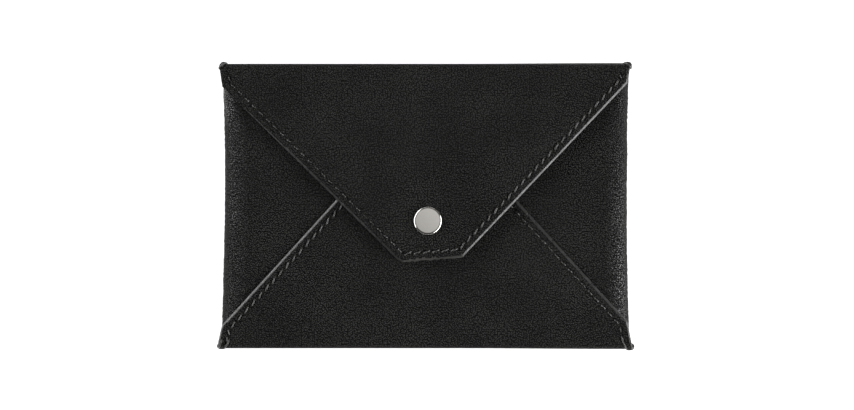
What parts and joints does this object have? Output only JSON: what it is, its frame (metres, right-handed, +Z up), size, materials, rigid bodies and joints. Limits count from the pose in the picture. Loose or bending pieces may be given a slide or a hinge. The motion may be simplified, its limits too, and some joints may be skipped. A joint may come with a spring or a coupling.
{
  "type": "document wallet",
  "caption": "Black leather envelope wallet for a passport or folded papers: a folded pouch with a pointed flap that turns on its spine wall and closes with a metal snap.",
  "frame": {"origin": "on the flat back that the wallet lies on, below the middle of its outline", "axes": "+X to the right along the long side, +Y towards the spine wall that carries the flap, +Z up through the front and the flap"},
  "size_m": [0.145, 0.1004, 0.014],
  "materials": {
    "leather": "matt fine-grained black",
    "lining": "black suede side",
    "thread": "waxed black thread",
    "snap_metal": "polished nickel plate"
  },
  "bodies": {
    "pouch": {"back_panel": "leather", "back_lining": "lining", "left_side_panel": "leather", "right_side_panel": "leather", "front_panel": "leather", "left_seam_top_thread": "thread", "left_seam_under_thread": "thread", "right_seam_top_thread": "thread", "right_seam_under_thread": "thread", "bottom_left_tack": "thread", "bottom_right_tack": "thread", "snap_stud": "snap_metal", "snap_post": "snap_metal"},
    "spine": {"top_spine": "leather", "spine_lining": "lining", "top_left_tack": "thread", "top_right_tack": "thread"},
    "flap": {"flap_panel": "leather", "flap_lining": "lining", "flap_top_thread": "thread", "flap_under_thread": "thread", "snap_cap": "snap_metal", "snap_socket": "snap_metal", "snap_spring": "snap_metal"}
  },
  "joints": [
    {"name": "spine_fold", "type": "hinge", "parent": "pouch", "child": "spine", "pos_m": [0, 0.04875, 0.0007], "axis": [-1, 0, 0], "range_deg": [0, 90]},
    {"name": "flap_fold", "type": "hinge", "parent": "spine", "child": "flap", "pos_m": [0, 0.04875, 0.0084], "axis": [-1, 0, 0], "range_deg": [0, 84.5], "deforming": ["snap_spring"]}
  ]
}
